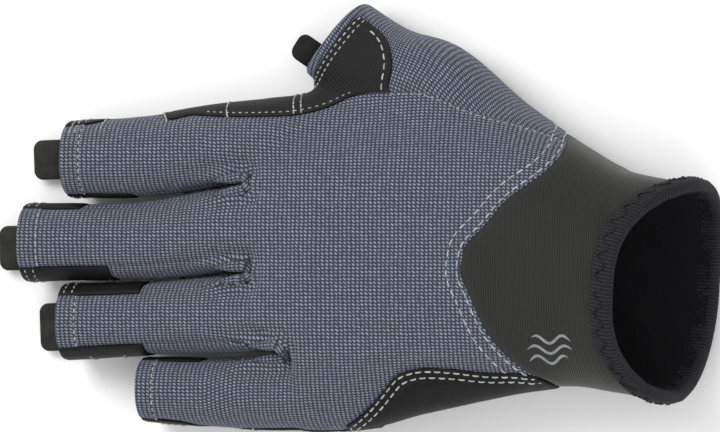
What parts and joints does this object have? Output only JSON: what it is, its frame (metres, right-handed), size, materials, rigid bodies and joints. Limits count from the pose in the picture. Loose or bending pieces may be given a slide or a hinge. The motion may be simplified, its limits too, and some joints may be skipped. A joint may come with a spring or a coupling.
{
  "type": "sailing glove",
  "caption": "Left-hand short-finger sailing glove of woven cloth and leather, with pull tabs and a bound, scooped neoprene cuff.",
  "frame": {"origin": "on the outer face of the palm patch, which the glove rests on, under the middle of the palm", "axes": "+X from the fingers to the cuff, +Y towards the thumb, +Z out of the back of the hand"},
  "size_m": [0.2318, 0.1307, 0.0457],
  "materials": {
    "woven": "coarse two-tone weave, matt",
    "leather": "fine-grained synthetic leather, matt black",
    "neoprene": "knit-faced neoprene foam, dark grey",
    "lining": "smooth knit, black",
    "binding": "ribbed elastic tape, charcoal",
    "tab": "smooth dark grey"
  },
  "bodies": {
    "hand": {"back_panel": "woven", "palm_panel": "leather", "palm_patch": "leather", "cuff_yoke": "neoprene"},
    "knuckles": {"index_back": "woven", "index_palm": "leather", "middle_back": "woven", "middle_palm": "leather", "ring_back": "woven", "ring_palm": "leather", "little_back": "woven", "little_palm": "leather", "fourchette_index_middle": "woven", "fourchette_middle_ring": "woven", "fourchette_ring_little": "woven"},
    "index": {"index_tip_back": "woven", "index_tip_wrap": "leather"},
    "middle": {"middle_tip_back": "woven", "middle_tip_wrap": "leather"},
    "ring": {"ring_tip_back": "woven", "ring_tip_wrap": "leather"},
    "little": {"little_tip_back": "woven", "little_tip_wrap": "leather"},
    "thumb": {"thumb_hem": "woven", "thumb_back": "woven", "thumb_palm": "leather"},
    "cuff": {"cuff_sleeve": "neoprene", "cuff_lining": "lining", "cuff_binding": "binding"},
    "index_tab": {"index_tab": "tab"},
    "middle_tab": {"middle_tab": "tab"},
    "ring_tab": {"ring_tab": "tab"},
    "thumb_tab": {"thumb_tab": "tab"}
  },
  "joints": [
    {"name": "knuckle_bend", "type": "hinge", "parent": "hand", "child": "knuckles", "pos_m": [-0.026, 0, 0.014], "axis": [0, -1, 0], "range_deg": [-10, 60], "stiffness_Nm_per_rad": 0.2},
    {"name": "index_bend", "type": "hinge", "parent": "knuckles", "child": "index", "pos_m": [-0.068, 0.0342, 0.011], "axis": [0.1433, -0.9897, 0], "range_deg": [-5, 70], "stiffness_Nm_per_rad": 0.08},
    {"name": "middle_bend", "type": "hinge", "parent": "knuckles", "child": "middle", "pos_m": [-0.07, 0.00832, 0.011], "axis": [0.1343, -0.9909, 0], "range_deg": [-5, 70], "stiffness_Nm_per_rad": 0.08},
    {"name": "ring_bend", "type": "hinge", "parent": "knuckles", "child": "ring", "pos_m": [-0.068, -0.01624, 0.011], "axis": [0.0695, -0.9976, 0], "range_deg": [-5, 70], "stiffness_Nm_per_rad": 0.08},
    {"name": "little_bend", "type": "hinge", "parent": "knuckles", "child": "little", "pos_m": [-0.056, -0.03919, 0.011], "axis": [-0.0152, -0.9999, 0], "range_deg": [-5, 70], "stiffness_Nm_per_rad": 0.08},
    {"name": "thumb_bend", "type": "hinge", "parent": "hand", "child": "thumb", "pos_m": [0.0145, 0.0422, 0.008], "axis": [-0.9801, 0.1984, 0], "range_deg": [-10, 40], "stiffness_Nm_per_rad": 0.1},
    {"name": "wrist_bend", "type": "hinge", "parent": "hand", "child": "cuff", "pos_m": [0.06, 0, 0.022], "axis": [0, 1, 0], "range_deg": [-20, 20], "stiffness_Nm_per_rad": 0.3},
    {"name": "index_tab_flap", "type": "hinge", "parent": "index", "child": "index_tab", "pos_m": [-0.11001, 0.03137, 0.0032], "axis": [0.0225, -0.9997, 0], "range_deg": [-60, 60], "stiffness_Nm_per_rad": 0.002},
    {"name": "middle_tab_flap", "type": "hinge", "parent": "middle", "child": "middle_tab", "pos_m": [-0.12368, 0.00408, 0.0032], "axis": [0.0148, -0.9999, 0], "range_deg": [-60, 60], "stiffness_Nm_per_rad": 0.002},
    {"name": "ring_tab_flap", "type": "hinge", "parent": "ring", "child": "ring_tab", "pos_m": [-0.11129, -0.01881, 0.0032], "axis": [0.0051, -1, 0], "range_deg": [-60, 60], "stiffness_Nm_per_rad": 0.002},
    {"name": "thumb_tab_flap", "type": "hinge", "parent": "thumb", "child": "thumb_tab", "pos_m": [-0.02761, 0.05908, 0.0065], "axis": [-0.3129, -0.9498, 0], "range_deg": [-60, 60], "stiffness_Nm_per_rad": 0.002}
  ]
}
